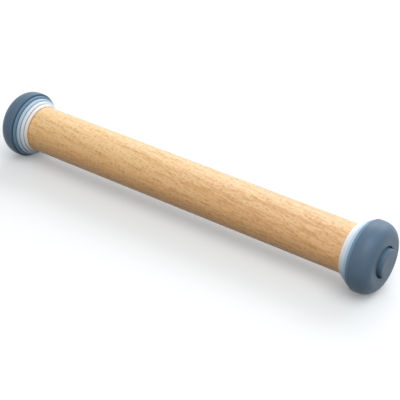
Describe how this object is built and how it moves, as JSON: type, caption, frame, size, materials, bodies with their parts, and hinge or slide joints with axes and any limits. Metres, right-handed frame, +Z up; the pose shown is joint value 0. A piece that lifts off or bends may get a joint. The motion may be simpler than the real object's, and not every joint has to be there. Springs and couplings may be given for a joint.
{
  "type": "adjustable rolling pin",
  "caption": "Straight beech roller with stepped raise discs clamped on each end by a round-headed bolt, so that dough is rolled to a chosen thickness.",
  "frame": {"origin": "middle of the pin, on the worktop straight below its axis", "axes": "+X along the pin, out of the right end (the near end in the picture); +Z up from the worktop that the end discs stand on; +Y across the worktop"},
  "size_m": [0.425, 0.065, 0.065],
  "materials": {
    "beech": "bare, finely sanded, satin",
    "white_plastic": "moulded, satin",
    "pale_blue_plastic": "moulded, satin",
    "light_blue_plastic": "moulded, satin",
    "steel_blue_plastic": "moulded, satin",
    "slate_blue_plastic": "moulded, satin",
    "grey_plastic": "moulded"
  },
  "bodies": {
    "roller": {"roller": "beech", "left_thread_socket": "grey_plastic", "right_thread_socket": "grey_plastic"},
    "left_disc_2mm": {"left_disc_2mm": "white_plastic"},
    "left_disc_4mm": {"left_disc_4mm": "pale_blue_plastic"},
    "left_disc_6mm": {"left_disc_6mm": "light_blue_plastic"},
    "left_disc_8mm": {"left_disc_8mm": "steel_blue_plastic"},
    "left_end_disc": {"left_end_disc_10mm": "slate_blue_plastic"},
    "left_bolt": {"left_end_bolt": "slate_blue_plastic"},
    "right_disc_2mm": {"right_disc_2mm": "white_plastic"},
    "right_disc_4mm": {"right_disc_4mm": "pale_blue_plastic"},
    "right_disc_6mm": {"right_disc_6mm": "light_blue_plastic"},
    "right_disc_8mm": {"right_disc_8mm": "steel_blue_plastic"},
    "right_end_disc": {"right_end_disc_10mm": "slate_blue_plastic"},
    "right_bolt": {"right_end_bolt": "slate_blue_plastic"}
  },
  "joints": [
    {"name": "left_end_disc_slide", "type": "slide", "parent": "roller", "child": "left_end_disc", "axis": [-1, 0, 0], "range_m": [0, 0.024]},
    {"name": "left_bolt_turn", "type": "hinge", "parent": "left_end_disc", "child": "left_bolt", "pos_m": [-0.2, 0, 0.0325], "axis": [-1, 0, 0], "range_deg": [0, 2160]},
    {"name": "left_disc_2mm_slide", "type": "slide", "parent": "roller", "child": "left_disc_2mm", "axis": [-1, 0, 0], "range_m": [0, 0.0048]},
    {"name": "left_disc_4mm_slide", "type": "slide", "parent": "roller", "child": "left_disc_4mm", "axis": [-1, 0, 0], "range_m": [0, 0.0096]},
    {"name": "left_disc_6mm_slide", "type": "slide", "parent": "roller", "child": "left_disc_6mm", "axis": [-1, 0, 0], "range_m": [0, 0.0144]},
    {"name": "left_disc_8mm_slide", "type": "slide", "parent": "roller", "child": "left_disc_8mm", "axis": [-1, 0, 0], "range_m": [0, 0.0192]},
    {"name": "right_end_disc_slide", "type": "slide", "parent": "roller", "child": "right_end_disc", "axis": [1, 0, 0], "range_m": [0, 0.024]},
    {"name": "right_bolt_turn", "type": "hinge", "parent": "right_end_disc", "child": "right_bolt", "pos_m": [0.2, 0, 0.0325], "axis": [1, 0, 0], "range_deg": [0, 2160]},
    {"name": "right_disc_2mm_slide", "type": "slide", "parent": "roller", "child": "right_disc_2mm", "axis": [1, 0, 0], "range_m": [0, 0.0048]},
    {"name": "right_disc_4mm_slide", "type": "slide", "parent": "roller", "child": "right_disc_4mm", "axis": [1, 0, 0], "range_m": [0, 0.0096]},
    {"name": "right_disc_6mm_slide", "type": "slide", "parent": "roller", "child": "right_disc_6mm", "axis": [1, 0, 0], "range_m": [0, 0.0144]},
    {"name": "right_disc_8mm_slide", "type": "slide", "parent": "roller", "child": "right_disc_8mm", "axis": [1, 0, 0], "range_m": [0, 0.0192]}
  ],
  "couplings": [
    {"joint": "left_bolt_turn", "follows": "left_end_disc_slide", "rad_per_m": 1570.8},
    {"joint": "left_disc_2mm_slide", "follows": "left_end_disc_slide", "ratio": 0.2},
    {"joint": "left_disc_4mm_slide", "follows": "left_end_disc_slide", "ratio": 0.4},
    {"joint": "left_disc_6mm_slide", "follows": "left_end_disc_slide", "ratio": 0.6},
    {"joint": "left_disc_8mm_slide", "follows": "left_end_disc_slide", "ratio": 0.8},
    {"joint": "right_bolt_turn", "follows": "right_end_disc_slide", "rad_per_m": 1570.8},
    {"joint": "right_disc_2mm_slide", "follows": "right_end_disc_slide", "ratio": 0.2},
    {"joint": "right_disc_4mm_slide", "follows": "right_end_disc_slide", "ratio": 0.4},
    {"joint": "right_disc_6mm_slide", "follows": "right_end_disc_slide", "ratio": 0.6},
    {"joint": "right_disc_8mm_slide", "follows": "right_end_disc_slide", "ratio": 0.8}
  ]
}
